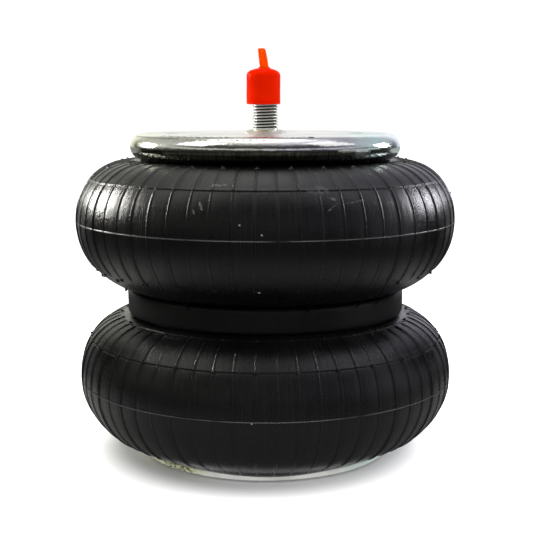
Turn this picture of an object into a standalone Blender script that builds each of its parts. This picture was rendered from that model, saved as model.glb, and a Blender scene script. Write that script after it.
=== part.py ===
"""Air bellows actuator with two convolutions, in metres, +Z up, standing on its lower plate.

Each steel bead plate has its rim rolled round the bead of a rubber bellows. A girdle holds
the waist, and a hollow stud in the upper plate fastens the actuator and lets the air in.
A soft cap with a pull tab covers the stud.

Round pieces are turned from outlines of (radius, height) points. What belongs to a plate
is drawn in that plate's own frame, with its outer face at height 0 and the air chamber
below it. The upper plate's frame stands at the top, and the lower one's is turned over.
"""

import math

import bmesh
import bpy
from mathutils import Vector

# Whole object
OVERALL_HEIGHT = 0.270
CLEARANCE = 0.0003
TURN_STEPS = 36
SMALL_TURN_STEPS = 20

# Bead plates, pressed from sheet steel
PLATE_RADIUS = 0.1143
SHEET = 0.0035
RIM_HEIGHT = 0.0216
LIP_ANGLE = math.radians(78)

# Rubber bellows
WALL = 0.0055
BEAD_REACH = 0.0085
BEAD_FILLET = 0.002
CORE_RADIUS = 0.0032
CORE_INSET = 0.0032
SHOULDER_OUT = 0.0075
WAIST_HEIGHT = 0.1300
NECK_RADIUS = 0.1087
NECK_FILLET = 0.0028
UPPER_EQUATOR = (0.1614, 0.1976)
UPPER_SHOULDER_DEPTH = 0.0250
UPPER_SHOULDER_POWER = 2.3
UPPER_WAIST_POWER = 1.82
LOWER_EQUATOR = (0.1601, 0.0639)
LOWER_SHOULDER_DEPTH = 0.0116
LOWER_SHOULDER_POWER = 1.70
LOWER_WAIST_POWER = 2.15
LOWER_WRAP_ANGLE = math.radians(10)
LOWER_FOLD_OUT = 0.0045

# Girdle round the waist
GIRDLE_THICKNESS = 0.0091
GIRDLE_HEIGHT = 0.0209
HOOP_THICKNESS = 0.0024
HOOP_HEIGHT = 0.0100

# Combination stud, its weld collar and its air port
STUD_RADIUS = 0.0110
STUD_LENGTH = 0.0500
STUD_CHAMFER = 0.0015
STUD_HEAD_RADIUS = 0.0210
STUD_HEAD_THICKNESS = 0.0050
PORT_RADIUS = 0.0057
PORT_DEPTH = 0.0200
AIRWAY_RADIUS = 0.0040
COLLAR_WIDTH = 0.0075
COLLAR_HEIGHT = 0.0042
COLLAR_CHAMFER = 0.0028
COLLAR_SEAT_DEPTH = 0.0003
COLLAR_SEAT_MARGIN = 0.0006

# Blind nuts, pressed into both plates, set in from the bead's inner edge
NUT_INSET = 0.01625
NUT_BODY_RADIUS = 0.0078
NUT_LENGTH = 0.0200
NUT_FLANGE_RADIUS = 0.0115
NUT_FLANGE_THICKNESS = 0.0028
NUT_BORE_RADIUS = 0.00425
NUT_BORE_DEPTH = 0.0160
NUT_RECESS = 0.0002

# Protective cap with its pull tab
CAP_RADIUS = 0.01435
CAP_WALL = 0.00145
CAP_SKIRT = 0.0260
CAP_CROWN = 0.0020
CAP_FILLET = 0.0030
CAP_DOME_RADIUS = 0.0065
CAP_DOME_HEIGHT = 0.0026
CAP_SIDE_PLAY = 0.0015
TAB_WIDTH = 0.0068
TAB_TIP_WIDTH = 0.0056
TAB_THICKNESS = 0.0030
TAB_HEIGHT = 0.0158
TAB_LEAN = 0.0022
TAB_BEVEL = 0.0007

# Worked out from the sizes above
ROLL_RADIUS = RIM_HEIGHT / 2
FLAT_RADIUS = PLATE_RADIUS - ROLL_RADIUS
BEAD_RADIUS = ROLL_RADIUS - SHEET - CLEARANCE
GIRDLE_INNER = NECK_RADIUS + CLEARANCE
GIRDLE_RADIUS = GIRDLE_INNER + GIRDLE_THICKNESS
STUD_HOLE_RADIUS = STUD_RADIUS + CLEARANCE
COLLAR_RADIUS = STUD_HOLE_RADIUS + COLLAR_WIDTH
NUT_HOLE_RADIUS = NUT_BODY_RADIUS + CLEARANCE
NUT_SPACING = 2 * (FLAT_RADIUS - BEAD_REACH - NUT_INSET)
CHAMBER_FACE = -SHEET - CLEARANCE

# name: (colour, roughness, metallic)
FINISHES = {
    "zinc_plate": ((0.66, 0.67, 0.64), 0.28, 1.0),
    "bellows_rubber": ((0.022, 0.022, 0.024), 0.55, 0.0),
    "band_rubber": ((0.014, 0.014, 0.015), 0.45, 0.0),
    "bare_steel": ((0.42, 0.42, 0.43), 0.40, 1.0),
    "red_vinyl": ((0.80, 0.020, 0.004), 0.35, 0.0),
}


def clear_scene():
    for obj in list(bpy.data.objects):
        bpy.data.objects.remove(obj, do_unlink=True)


def new_collection(name):
    collection = bpy.data.collections.new(name)
    bpy.context.scene.collection.children.link(collection)
    return collection


def make_finish(name):
    colour, roughness, metallic = FINISHES[name]
    material = bpy.data.materials.new(name)
    material.use_nodes = True
    shader = material.node_tree.nodes["Principled BSDF"]
    shader.inputs["Base Color"].default_value = (*colour, 1.0)
    shader.inputs["Roughness"].default_value = roughness
    shader.inputs["Metallic"].default_value = metallic
    return material


def frame_empty(name, height, turned_over=False, parent=None):
    """An empty on the axis: a joint's place, or a plate's own frame."""
    empty = bpy.data.objects.new(name, None)
    HELPERS.objects.link(empty)
    empty.location.z = height - (parent.location.z if parent else 0.0)
    empty.rotation_euler.x = math.pi if turned_over else 0.0
    empty.parent = parent
    return empty


def arc(centre, radius, start, end, steps):
    """Points on an arc. Angles run from +radius towards +height."""
    angles = [start + (end - start) * i / steps for i in range(steps + 1)]
    return [
        (centre[0] + radius * math.cos(a), centre[1] + radius * math.sin(a))
        for a in angles
    ]


def bulge(centre, reach, rise, power, start, end, steps):
    """Points on a superellipse quarter, from the share start to the share end of its turn."""
    points = []
    for i in range(steps + 1):
        turn = (start + (end - start) * i / steps) * math.pi / 2
        out = max(math.cos(turn), 0.0) ** (2 / power)
        up = max(math.sin(turn), 0.0) ** (2 / power)
        points.append((centre[0] + reach * out, centre[1] + rise * up))
    return points


def bridge(first, heading, last, arriving, steps):
    """A smooth curve between two points, leaving and arriving in the given directions."""
    pull = 1.2 * math.dist(first, last)
    points = []
    for i in range(1, steps):
        t = i / steps
        a, b = 2 * t**3 - 3 * t**2 + 1, t**3 - 2 * t**2 + t
        c, d = -2 * t**3 + 3 * t**2, t**3 - t**2
        points.append(
            tuple(
                a * first[k] + b * pull * heading[k] + c * last[k] + d * pull * arriving[k]
                for k in (0, 1)
            )
        )
    return points


def offset(path, distance):
    """The path moved sideways by a distance, to the left of its own direction."""
    moved = []
    for i, point in enumerate(path):
        before, after = path[max(i - 1, 0)], path[min(i + 1, len(path) - 1)]
        run = Vector((after[0] - before[0], after[1] - before[1])).normalized()
        moved.append((point[0] - distance * run.y, point[1] + distance * run.x))
    return moved


def rounded(corners, steps=2):
    """A closed outline from (radius, height, fillet) corners, its fillets made of arcs."""
    outline = []
    for i, (r, z, fillet) in enumerate(corners):
        if fillet <= 0:
            outline.append((r, z))
            continue
        here = Vector((r, z))
        back = (Vector(corners[i - 1][:2]) - here).normalized()
        ahead = (Vector(corners[(i + 1) % len(corners)][:2]) - here).normalized()
        half = back.angle(ahead) / 2
        start = here + back * fillet / math.tan(half)
        centre = here + (back + ahead).normalized() * fillet / math.sin(half)
        first = (start - centre).to_2d()
        sweep = math.pi - 2 * half
        side = 1 if first.x * ahead.y - first.y * ahead.x > 0 else -1
        turn = math.atan2(first.y, first.x)
        outline += arc(centre, fillet, turn, turn + side * sweep, steps)
    return outline


def link(obj, finish, frame, smooth_angle=math.radians(35)):
    """Puts a finished object in the collection, in its frame, shaded smooth."""
    PIECES.objects.link(obj)
    obj.data.materials.append(MATERIALS[finish])
    obj.data.shade_smooth()
    obj.data.set_sharp_from_angle(angle=smooth_angle)
    obj.parent = frame
    return obj


def turned(name, outline, finish, frame, steps=TURN_STEPS):
    """A piece turned from an outline. Its points run top to bottom on the outer side."""
    mesh = bpy.data.meshes.new(name)
    count = len(outline)
    edges = [(i, (i + 1) % count) for i in range(count)]
    mesh.from_pydata([(r, 0.0, z) for r, z in outline], edges, [])
    obj = link(bpy.data.objects.new(name, mesh), finish, frame)
    screw = obj.modifiers.new("turn", "SCREW")
    screw.axis = "Z"
    screw.angle = 2 * math.pi
    screw.steps = screw.render_steps = steps
    screw.use_merge_vertices = True
    screw.merge_threshold = 0.00002
    screw.use_smooth_shade = True
    return obj


def hole_cutter(name, radius, place, depth, frame):
    """A round cutter through a sheet, longer than the sheet is thick."""
    mesh = bpy.data.meshes.new(name)
    cutter = bmesh.new()
    bmesh.ops.create_cone(
        cutter,
        cap_ends=True,
        segments=SMALL_TURN_STEPS,
        radius1=radius,
        radius2=radius,
        depth=depth,
    )
    cutter.to_mesh(mesh)
    cutter.free()
    obj = bpy.data.objects.new(name, mesh)
    HELPERS.objects.link(obj)
    obj.location = (place, 0.0, -depth / 4)
    obj.parent = frame
    obj.hide_render = True
    obj.display_type = "WIRE"
    return obj


def cut(obj, cutter):
    boolean = obj.modifiers.new(cutter.name, "BOOLEAN")
    boolean.operation = "DIFFERENCE"
    boolean.solver = "EXACT"
    boolean.object = cutter


def make_plate(side, frame, centre):
    """One sheet: a flat disc whose rim is rolled through to the lip that grips the bead.

    centre is the outer face's outline up to the roll, from the middle outwards.
    """
    roll_centre = (FLAT_RADIUS, -ROLL_RADIUS)
    outline = list(centre)
    outline += arc(roll_centre, ROLL_RADIUS, math.pi / 2, -LIP_ANGLE, 7)
    outline += arc(roll_centre, ROLL_RADIUS - SHEET, -LIP_ANGLE, math.pi / 2, 7)
    outline.append((centre[0][0], -SHEET))
    plate = turned(f"{side}_bead_plate", outline, "zinc_plate", frame)
    for hand, sign in (("left", -1), ("right", 1)):
        name = f"{side}_nut_hole_{hand}"
        cut(plate, hole_cutter(name, NUT_HOLE_RADIUS, sign * NUT_SPACING / 2, 6 * SHEET, frame))
    return plate


def make_blind_nut(side, hand, sign, frame):
    """A closed threaded sleeve, flush outside, with its flange on the sheet's inner face."""
    chamfer = NUT_BODY_RADIUS / 12
    outline = [
        (NUT_BORE_RADIUS + chamfer, -NUT_RECESS),
        (NUT_BODY_RADIUS, -NUT_RECESS),
        (NUT_BODY_RADIUS, CHAMBER_FACE),
        (NUT_FLANGE_RADIUS, CHAMBER_FACE),
        (NUT_FLANGE_RADIUS, CHAMBER_FACE - NUT_FLANGE_THICKNESS),
        (NUT_BODY_RADIUS, CHAMBER_FACE - NUT_FLANGE_THICKNESS),
        (NUT_BODY_RADIUS, -NUT_LENGTH + chamfer),
        (NUT_BODY_RADIUS - chamfer, -NUT_LENGTH),
        (0.0, -NUT_LENGTH),
        (0.0, -NUT_BORE_DEPTH),
        (NUT_BORE_RADIUS, -NUT_BORE_DEPTH + NUT_BORE_RADIUS / 2),
        (NUT_BORE_RADIUS, -NUT_RECESS - chamfer),
    ]
    name = f"{side}_blind_nut_{hand}"
    nut = turned(name, outline, "bare_steel", frame, steps=12)
    nut.location.x = sign * NUT_SPACING / 2
    return nut


def bead_outline():
    """The bead's inner outline, with the open groove that its wire core lies in."""
    inner = FLAT_RADIUS - BEAD_REACH
    low, high = -ROLL_RADIUS - BEAD_RADIUS, -ROLL_RADIUS + BEAD_RADIUS
    groove = CORE_RADIUS + CLEARANCE
    core = (FLAT_RADIUS - CORE_INSET, -ROLL_RADIUS)
    points = arc((inner + BEAD_FILLET, low + BEAD_FILLET), BEAD_FILLET, 1.5 * math.pi, math.pi, 1)
    points.append((inner, -ROLL_RADIUS - groove))
    points += arc(core, groove, -math.pi / 2, math.pi / 2, 4)
    points.append((inner, -ROLL_RADIUS + groove))
    points += arc((inner + BEAD_FILLET, high - BEAD_FILLET), BEAD_FILLET, math.pi, math.pi / 2, 1)
    return points


def make_convolution(side, frame, equator, shoulder, waist_depth, wrap_angle):
    """One half of the bellows, from its clamped bead over the lip and the bulge to the neck.

    shoulder is (radius, depth, power), equator is (radius, depth, power towards the waist),
    and wrap_angle is how far round the rim's roll the wall lies, or None where it leaves
    the lip at once.
    """
    roll_centre = (FLAT_RADIUS, -ROLL_RADIUS)
    lip = -(LIP_ANGLE + CLEARANCE / BEAD_RADIUS)
    outer_roll = ROLL_RADIUS + CLEARANCE
    bead = arc(roll_centre, BEAD_RADIUS, math.pi / 2, lip, 5)
    if wrap_angle is None:
        wall = [arc(roll_centre, outer_roll, lip, lip, 1)[0]]
        heading = (math.cos(lip), math.sin(lip))
    else:
        wall = arc(roll_centre, outer_roll, lip, -wrap_angle, 4)
        heading = (math.sin(wrap_angle), math.cos(wrap_angle))
    crest = (shoulder[0], -shoulder[1])
    wall += bridge(wall[-1], heading, crest, (1.0, 0.0), 3)
    reach, rise = equator[0] - shoulder[0], equator[1] - shoulder[1]
    wall += bulge((shoulder[0], -equator[1]), reach, rise, shoulder[2], 1, 0, 6)
    neck_turn = (NECK_RADIUS + NECK_FILLET, -waist_depth)
    rest = GIRDLE_HEIGHT / 2 - NECK_FILLET + CLEARANCE
    turn_height = neck_turn[1] + rest
    waist_rise = equator[1] - waist_depth + rest + NECK_FILLET
    waist_reach = equator[0] - NECK_RADIUS
    waist = bulge((NECK_RADIUS, -equator[1]), waist_reach, waist_rise, equator[2], 0, 0.93, 6)
    wall += waist[1:]
    wall += arc((neck_turn[0], turn_height), NECK_FILLET, math.pi / 2, math.pi, 2)
    wall.append((NECK_RADIUS, -waist_depth + CLEARANCE / 2))
    start = bead[-1:] + wall
    inside = offset(start, -WALL)
    inside[-1] = (NECK_RADIUS - WALL, wall[-1][1])
    bead_floor = -ROLL_RADIUS - BEAD_RADIUS
    inside = [p for p in inside if p[1] < bead_floor - CLEARANCE]
    outline = bead + wall + inside[::-1] + bead_outline()
    return turned(f"{side}_convolution", outline, "bellows_rubber", frame)


def make_bead_core(side, frame):
    """The ring of bead wire, seated in the bead's groove."""
    bpy.ops.mesh.primitive_torus_add(
        major_radius=FLAT_RADIUS - CORE_INSET,
        minor_radius=CORE_RADIUS,
        major_segments=TURN_STEPS,
        minor_segments=6,
        location=(0.0, 0.0, -ROLL_RADIUS),
    )
    core = bpy.context.object
    core.name = core.data.name = f"{side}_bead_core"
    for owner in list(core.users_collection):
        owner.objects.unlink(core)
    return link(core, "bare_steel", frame)


def make_girdle(frame):
    """The rubber band round the neck and the steel hoop in the groove inside it."""
    half = GIRDLE_HEIGHT / 2
    hoop_half = HOOP_HEIGHT / 2
    groove = GIRDLE_INNER + HOOP_THICKNESS + 2 * CLEARANCE
    inner_fillet = NECK_FILLET - CLEARANCE
    outer_fillet = 0.5 * (GIRDLE_THICKNESS - inner_fillet)
    band = rounded(
        [
            (GIRDLE_INNER, half, inner_fillet),
            (GIRDLE_RADIUS, half, outer_fillet),
            (GIRDLE_RADIUS, -half, outer_fillet),
            (GIRDLE_INNER, -half, inner_fillet),
            (GIRDLE_INNER, -hoop_half - CLEARANCE, 0),
            (groove, -hoop_half - CLEARANCE, 0),
            (groove, hoop_half + CLEARANCE, 0),
            (GIRDLE_INNER, hoop_half + CLEARANCE, 0),
        ]
    )
    turned("girdle_band", band, "band_rubber", frame)
    first, last = GIRDLE_INNER + CLEARANCE, GIRDLE_INNER + CLEARANCE + HOOP_THICKNESS
    hoop = [(first, hoop_half), (last, hoop_half), (last, -hoop_half), (first, -hoop_half)]
    turned("girdle_hoop", hoop, "bare_steel", frame)


def make_stud(frame):
    """The hollow stud: head inside the chamber, shank through the plate, port in its end."""
    head_floor = CHAMBER_FACE - STUD_HEAD_THICKNESS
    outline = [
        (STUD_RADIUS - STUD_CHAMFER, STUD_LENGTH),
        (STUD_RADIUS, STUD_LENGTH - STUD_CHAMFER),
        (STUD_RADIUS, CHAMBER_FACE),
        (STUD_HEAD_RADIUS, CHAMBER_FACE),
        (STUD_HEAD_RADIUS, head_floor),
        (AIRWAY_RADIUS, head_floor),
        (AIRWAY_RADIUS, STUD_LENGTH - PORT_DEPTH - (PORT_RADIUS - AIRWAY_RADIUS)),
        (PORT_RADIUS, STUD_LENGTH - PORT_DEPTH),
        (PORT_RADIUS, STUD_LENGTH),
    ]
    turned("combination_stud", outline, "zinc_plate", frame, steps=SMALL_TURN_STEPS)


def make_weld_collar(frame):
    """The weld round the stud's foot, in its shallow seat on the plate's outer face."""
    foot = CLEARANCE - COLLAR_SEAT_DEPTH
    outline = [
        (STUD_HOLE_RADIUS, COLLAR_HEIGHT),
        (COLLAR_RADIUS - COLLAR_CHAMFER, COLLAR_HEIGHT),
        (COLLAR_RADIUS, COLLAR_HEIGHT - COLLAR_CHAMFER),
        (COLLAR_RADIUS, foot),
        (STUD_HOLE_RADIUS, foot),
    ]
    turned("stud_weld_collar", outline, "zinc_plate", frame, steps=SMALL_TURN_STEPS)


def make_tab(frame, root_height):
    """The pull tab: a flat strip that narrows and leans as it rises."""
    mesh = bpy.data.meshes.new("pull_tab")
    strip = bmesh.new()
    bmesh.ops.create_cube(strip, size=1.0)
    for vertex in strip.verts:
        top = vertex.co.z > 0
        width = TAB_TIP_WIDTH if top else TAB_WIDTH
        vertex.co.x = vertex.co.x * width - (TAB_LEAN if top else 0.0)
        vertex.co.y *= TAB_THICKNESS
        vertex.co.z = TAB_HEIGHT if top else -CAP_DOME_HEIGHT
    bmesh.ops.bevel(
        strip, geom=list(strip.edges), offset=TAB_BEVEL, segments=2, affect="EDGES", profile=0.5
    )
    strip.to_mesh(mesh)
    strip.free()
    tab = bpy.data.objects.new("pull_tab", mesh)
    HELPERS.objects.link(tab)
    tab.location.z = root_height
    tab.parent = frame
    tab.hide_render = True
    tab.display_type = "WIRE"
    return tab


def make_cap(frame):
    """The soft cap: a thin skirt, a crowned roof and the tab moulded on it."""
    bore = CAP_RADIUS - CAP_WALL
    top = CAP_SKIRT + CAP_CROWN
    shoulder = (CAP_RADIUS - CAP_FILLET, top - CAP_FILLET)
    outline = [(0.0, top + CAP_DOME_HEIGHT)]
    outline += bulge((0.0, top), CAP_DOME_RADIUS, CAP_DOME_HEIGHT, 2.0, 0.75, 0, 3)
    outline += arc(shoulder, CAP_FILLET, math.pi / 2, 0, 3)
    outline += [(CAP_RADIUS, 0.0), (bore, 0.0), (bore, CAP_SKIRT), (0.0, CAP_SKIRT)]
    cap = turned("protective_cap", outline, "red_vinyl", frame, steps=SMALL_TURN_STEPS)
    join = cap.modifiers.new("tab", "BOOLEAN")
    join.operation = "UNION"
    join.solver = "EXACT"
    join.object = make_tab(frame, top + CAP_DOME_HEIGHT)
    cap.location.x = -CAP_SIDE_PLAY


def build():
    base = frame_empty("base", 0.0)
    girdle = frame_empty("girdle", WAIST_HEIGHT, parent=base)
    head = frame_empty("head", OVERALL_HEIGHT)
    lower = frame_empty("lower_plate_frame", 0.0, turned_over=True)
    cap_foot = OVERALL_HEIGHT + STUD_LENGTH + CLEARANCE - CAP_SKIRT
    cap = frame_empty("cap", cap_foot)
    shoulder_radius = FLAT_RADIUS + SHOULDER_OUT
    fold_radius = PLATE_RADIUS + LOWER_FOLD_OUT
    seat_radius = COLLAR_RADIUS + COLLAR_SEAT_MARGIN
    seat = [(STUD_HOLE_RADIUS, -COLLAR_SEAT_DEPTH), (seat_radius, -COLLAR_SEAT_DEPTH)]
    make_plate("lower", lower, [(0.0, 0.0)])
    make_plate("upper", head, seat + [(seat_radius, 0.0)])
    for side, frame in (("lower", lower), ("upper", head)):
        make_bead_core(side, frame)
        for hand, sign in (("left", -1), ("right", 1)):
            make_blind_nut(side, hand, sign, frame)
    make_convolution(
        "lower",
        lower,
        (LOWER_EQUATOR[0], LOWER_EQUATOR[1], LOWER_WAIST_POWER),
        (fold_radius, LOWER_SHOULDER_DEPTH, LOWER_SHOULDER_POWER),
        WAIST_HEIGHT,
        LOWER_WRAP_ANGLE,
    )
    make_convolution(
        "upper",
        head,
        (UPPER_EQUATOR[0], OVERALL_HEIGHT - UPPER_EQUATOR[1], UPPER_WAIST_POWER),
        (shoulder_radius, UPPER_SHOULDER_DEPTH, UPPER_SHOULDER_POWER),
        OVERALL_HEIGHT - WAIST_HEIGHT,
        None,
    )
    make_girdle(girdle)
    make_stud(head)
    make_weld_collar(head)
    make_cap(cap)


clear_scene()
PIECES = new_collection("air_bellows_actuator")
HELPERS = new_collection("frames_and_cutters")
MATERIALS = {name: make_finish(name) for name in FINISHES}
build()
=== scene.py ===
"""The looks of the air bellows actuator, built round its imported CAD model, in metres.

Round pieces are turned from outlines of (radius, height) points, in columns round the axis.
An angle of 0 faces the camera, at -Y, and angles grow towards +X.
"""

import math

import bmesh
import bpy
import numpy as np
from mathutils import Matrix, Vector, noise


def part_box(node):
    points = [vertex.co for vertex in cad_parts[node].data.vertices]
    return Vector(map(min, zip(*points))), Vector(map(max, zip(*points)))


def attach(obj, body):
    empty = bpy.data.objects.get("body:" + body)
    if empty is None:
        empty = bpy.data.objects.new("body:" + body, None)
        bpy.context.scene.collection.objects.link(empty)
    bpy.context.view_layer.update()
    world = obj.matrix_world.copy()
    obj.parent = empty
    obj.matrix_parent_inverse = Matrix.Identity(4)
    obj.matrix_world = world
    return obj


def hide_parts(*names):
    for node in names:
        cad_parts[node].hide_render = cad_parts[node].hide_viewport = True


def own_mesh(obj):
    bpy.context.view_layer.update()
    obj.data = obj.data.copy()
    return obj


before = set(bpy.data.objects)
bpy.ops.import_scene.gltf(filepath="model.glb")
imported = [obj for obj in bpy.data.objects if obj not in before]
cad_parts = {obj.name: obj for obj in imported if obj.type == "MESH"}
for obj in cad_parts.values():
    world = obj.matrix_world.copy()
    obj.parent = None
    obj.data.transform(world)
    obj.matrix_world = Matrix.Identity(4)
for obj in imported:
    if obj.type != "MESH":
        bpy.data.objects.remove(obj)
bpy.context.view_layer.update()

# Camera, fitted to the photograph
FOCAL_PIXELS = 1067.1
IMAGE_PIXELS = 533
SENSOR_MM = 36.0
CAMERA_PLACE = (0.0011, -0.9131, 0.2951)
CAMERA_PITCH = math.radians(8.7)

# Bead plates
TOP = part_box("upper_bead_plate")[1].z
ROLL_RADIUS = 0.0108
FLAT_RADIUS = 0.1035
SHEET = 0.0035
LIP_ANGLE = math.radians(78)
STUD_HOLE_RADIUS = 0.0113
NUT_LOW, NUT_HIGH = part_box("upper_blind_nut_right")
NUT_PLACE = (NUT_LOW.x + NUT_HIGH.x) / 2
NUT_HOLE_RADIUS = 0.0081
# A pressing's unevenness: half its depth, its waves a metre, and the flat's share of it
PRESSED_DEPTH = 0.00010
PRESSED_WAVES = 22
PRESSED_FLAT_SHARE = 0.35

# Bellows: what shows of the rubber, from the lip of one plate to the waist
NECK_RADIUS = 0.1087
NECK_FILLET = 0.0030
WAIST = (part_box("lower_convolution")[1].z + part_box("upper_convolution")[0].z) / 2
# Kept free inside the CAD box for ribs and ring lines
RELIEF_ROOM = 0.0012
UPPER_EQUATOR = (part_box("upper_convolution")[1].x - RELIEF_ROOM, 0.1976)
LOWER_EQUATOR = (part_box("lower_convolution")[1].x - RELIEF_ROOM, 0.0639)
WALL = 0.0055
# Points on the paths: a ring line beside each equator, and the bend below the waist
UPPER_RING = (0.1510, 0.2346)
LOWER_RING = (0.1480, 0.0975)
LOWER_BEND = (0.1230, 0.1145)
RIB_COUNT = 60
RIB_PITCH = 2 * math.pi / RIB_COUNT
RIB_PHASE = math.radians(3.2)
RIB_HALF_WIDTH = 0.00095
RIB_HEIGHT = 0.00073
RIB_FADE = 0.003
# Across a rib, in half widths, with the share of its height: a crest between two fine grooves
RIB_FLANK = ((1.8, 0.0), (1.35, -0.16), (1.05, 0.0), (0.8, 0.33), (0.55, 0.67), (0.25, 1.0))
RIB_PROFILE = [(-o, h) for o, h in RIB_FLANK] + list(RIB_FLANK[::-1])
# The mesh's rows: evenly spaced, close together at each ring line, and fewer on the inside
ROW_SPACING = 0.0020
RING_ROWS = np.linspace(-0.0012, 0.0012, 7)
RING_CLEARANCE = 0.0018
INSIDE_STEP = 6
# The fold over the lower rim sways down and up round it, and fades out between two heights
FOLD_FADE = (0.0100, 0.0180)
FOLD_SWAY = 0.0016
FOLD_LIFT = 0.0002
# What the vents leave, as cones of (foot radius, end radius): a low rise, a stub that starts
# inside the rise, and a thread that runs a little round the axis
RISE, RISE_HEIGHT = (0.0020, 0.0012), 0.0007
STUB, STUB_START = (0.0010, 0.0007), 0.0005
WHISKER, WHISKER_TURN = (0.00055, 0.0004), 0.012

# Girdle
BAND_LOW, BAND_HIGH = [corner.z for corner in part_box("girdle_band")]
BAND_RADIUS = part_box("girdle_band")[1].x

# Stud
STUD_RADIUS = 0.0110
STUD_HEAD_RADIUS = 0.0210
STUD_LOW, STUD_TOP = [corner.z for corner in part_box("combination_stud")]
THREAD_PITCH = 0.0025
THREAD_DEPTH = 0.0015
AIRWAY_RADIUS = 0.0040
PORT_RADIUS = 0.0057
PORT_DEPTH = 0.0200
PORT_PITCH = 0.0014
PORT_THREAD_DEPTH = 0.0007

# Blind nuts: radii, and depths from the plate's outer face, two of them the flange's
NUT_SLEEVE = 0.0078
NUT_FLANGE = 0.0115
NUT_BORE = 0.0043
NUT_NEAR, NUT_FAR = 0.0036, 0.0064
NUT_DEPTH = 0.0198
NUT_BORE_DEPTH = 0.0136
NUT_PITCH = 0.0015
NUT_THREAD_DEPTH = 0.0008

# Cap
CAP_LOW, CAP_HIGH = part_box("protective_cap")
CAP_CROWN = CAP_LOW.z + 0.0303
CAP_INSIDE_RADIUS = 0.0129
TAB_LENGTH = 0.0159

# Studio. The floor's middle lies this far behind the object
FLOOR_BACK = 3.0
SHEET_EDGE = 0.32
SHADOW_CORE = 0.108
SHADOW_EDGE = 0.165
FLOOR_GLOW = 0.90
FLAG_SIZE = (0.18, 0.14, 1.0)
FLAG_TURN = math.radians(121)

# Lengths this close count as the same
SAME = 1e-6


# Helpers for shapes


def arc(centre, radius, start, end, steps):
    """Points on an arc, its angles in degrees from +radius towards +height."""
    turn = np.radians(np.linspace(start, end, steps + 1))
    return [(centre[0] + radius * math.cos(a), centre[1] + radius * math.sin(a)) for a in turn]


def bulge(centre, reach, rise, power, start, end):
    """Points on a superellipse quarter between two shares of its turn."""
    turn = np.linspace(start, end, 61) * math.pi / 2
    out = np.clip(np.cos(turn), 0, 1) ** (2 / power)
    up = np.clip(np.sin(turn), 0, 1) ** (2 / power)
    return [(centre[0] + reach * o, centre[1] + rise * u) for o, u in zip(out, up)]


def bridge(first, heading, last, arriving, steps, pull=1.1):
    """A smooth curve between two points, without its ends."""
    p, q = np.array(first), np.array(last)
    reach = pull * np.linalg.norm(q - p)
    d, e = reach * np.array(heading), reach * np.array(arriving)
    points = []
    for t in np.linspace(0, 1, steps + 1)[1:-1]:
        a, b = 2 * t**3 - 3 * t**2 + 1, t**3 - 2 * t**2 + t
        points.append(tuple(a * p + b * d + (1 - a) * q + (t**3 - t**2) * e))
    return points


def normals(outline, closed):
    """Outward directions along an outline whose outer side runs top to bottom."""
    ahead, behind = np.roll(outline, -1, 0), np.roll(outline, 1, 0)
    if not closed:
        ahead[-1], behind[0] = outline[-1], outline[0]
    run = ahead - behind
    run /= np.maximum(np.linalg.norm(run, axis=1, keepdims=True), 1e-12)
    return np.stack([-run[:, 1], run[:, 0]], 1)


def nearest(rows, point):
    """The number of the row nearest to a point."""
    return np.argmin(np.linalg.norm(rows - np.array(point), axis=1))


def step(values, low, high):
    """A smooth step from 0 to 1."""
    t = np.clip((values - low) / (high - low), 0, 1)
    return t * t * (3 - 2 * t)


def in_space(angle, radius, height):
    return np.stack([radius * np.sin(angle), -radius * np.cos(angle), height], -1)


def placed(name, data):
    obj = bpy.data.objects.new(name, data)
    bpy.context.scene.collection.objects.link(obj)
    return obj


def mesh_object(name, vertices, faces, material):
    mesh = bpy.data.meshes.new(name)
    mesh.from_pydata(vertices, [], faces)
    mesh.materials.append(material)
    mesh.shade_smooth()
    return placed(name, mesh)


def lathe(name, outline, material, columns=96, relief=None, centre_x=0.0):
    """A closed outline, turned. columns is a count or a table of angles, one row a column.

    relief(angles, radii, heights) gives how far the surface stands out along its normal.
    """
    outline = np.array(outline, float)
    rows = len(outline)
    if isinstance(columns, int):
        columns = np.repeat(np.arange(columns)[:, None] * 2 * math.pi / columns, rows, 1)
    radii = np.broadcast_to(outline[:, 0], columns.shape)
    heights = np.broadcast_to(outline[:, 1], columns.shape)
    out = relief(columns, radii, heights) if relief else np.zeros(columns.shape)
    normal = normals(outline, True)
    points = in_space(columns, radii + out * normal[:, 0], heights + out * normal[:, 1])
    points[..., 0] += centre_x
    index = np.arange(columns.size).reshape(columns.shape)
    right = np.roll(index, -1, 0)
    lower, lower_right = np.roll(index, -1, 1), np.roll(right, -1, 1)
    faces = np.stack([index, lower, lower_right, right], -1).reshape(-1, 4)
    obj = mesh_object(name, points.reshape(-1, 3).tolist(), faces.tolist(), material)
    if outline[:, 0].min() < SAME:
        merge_poles(obj)
    return obj


def merge_poles(obj):
    """One vertex where many lie on the axis."""
    shell = bmesh.new()
    shell.from_mesh(obj.data)
    bmesh.ops.remove_doubles(shell, verts=shell.verts, dist=SAME)
    bmesh.ops.dissolve_degenerate(shell, edges=shell.edges, dist=1e-7)
    bare = [edge for edge in shell.edges if not edge.link_faces]
    bmesh.ops.delete(shell, geom=bare, context="EDGES")
    shell.to_mesh(obj.data)
    shell.free()


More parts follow.
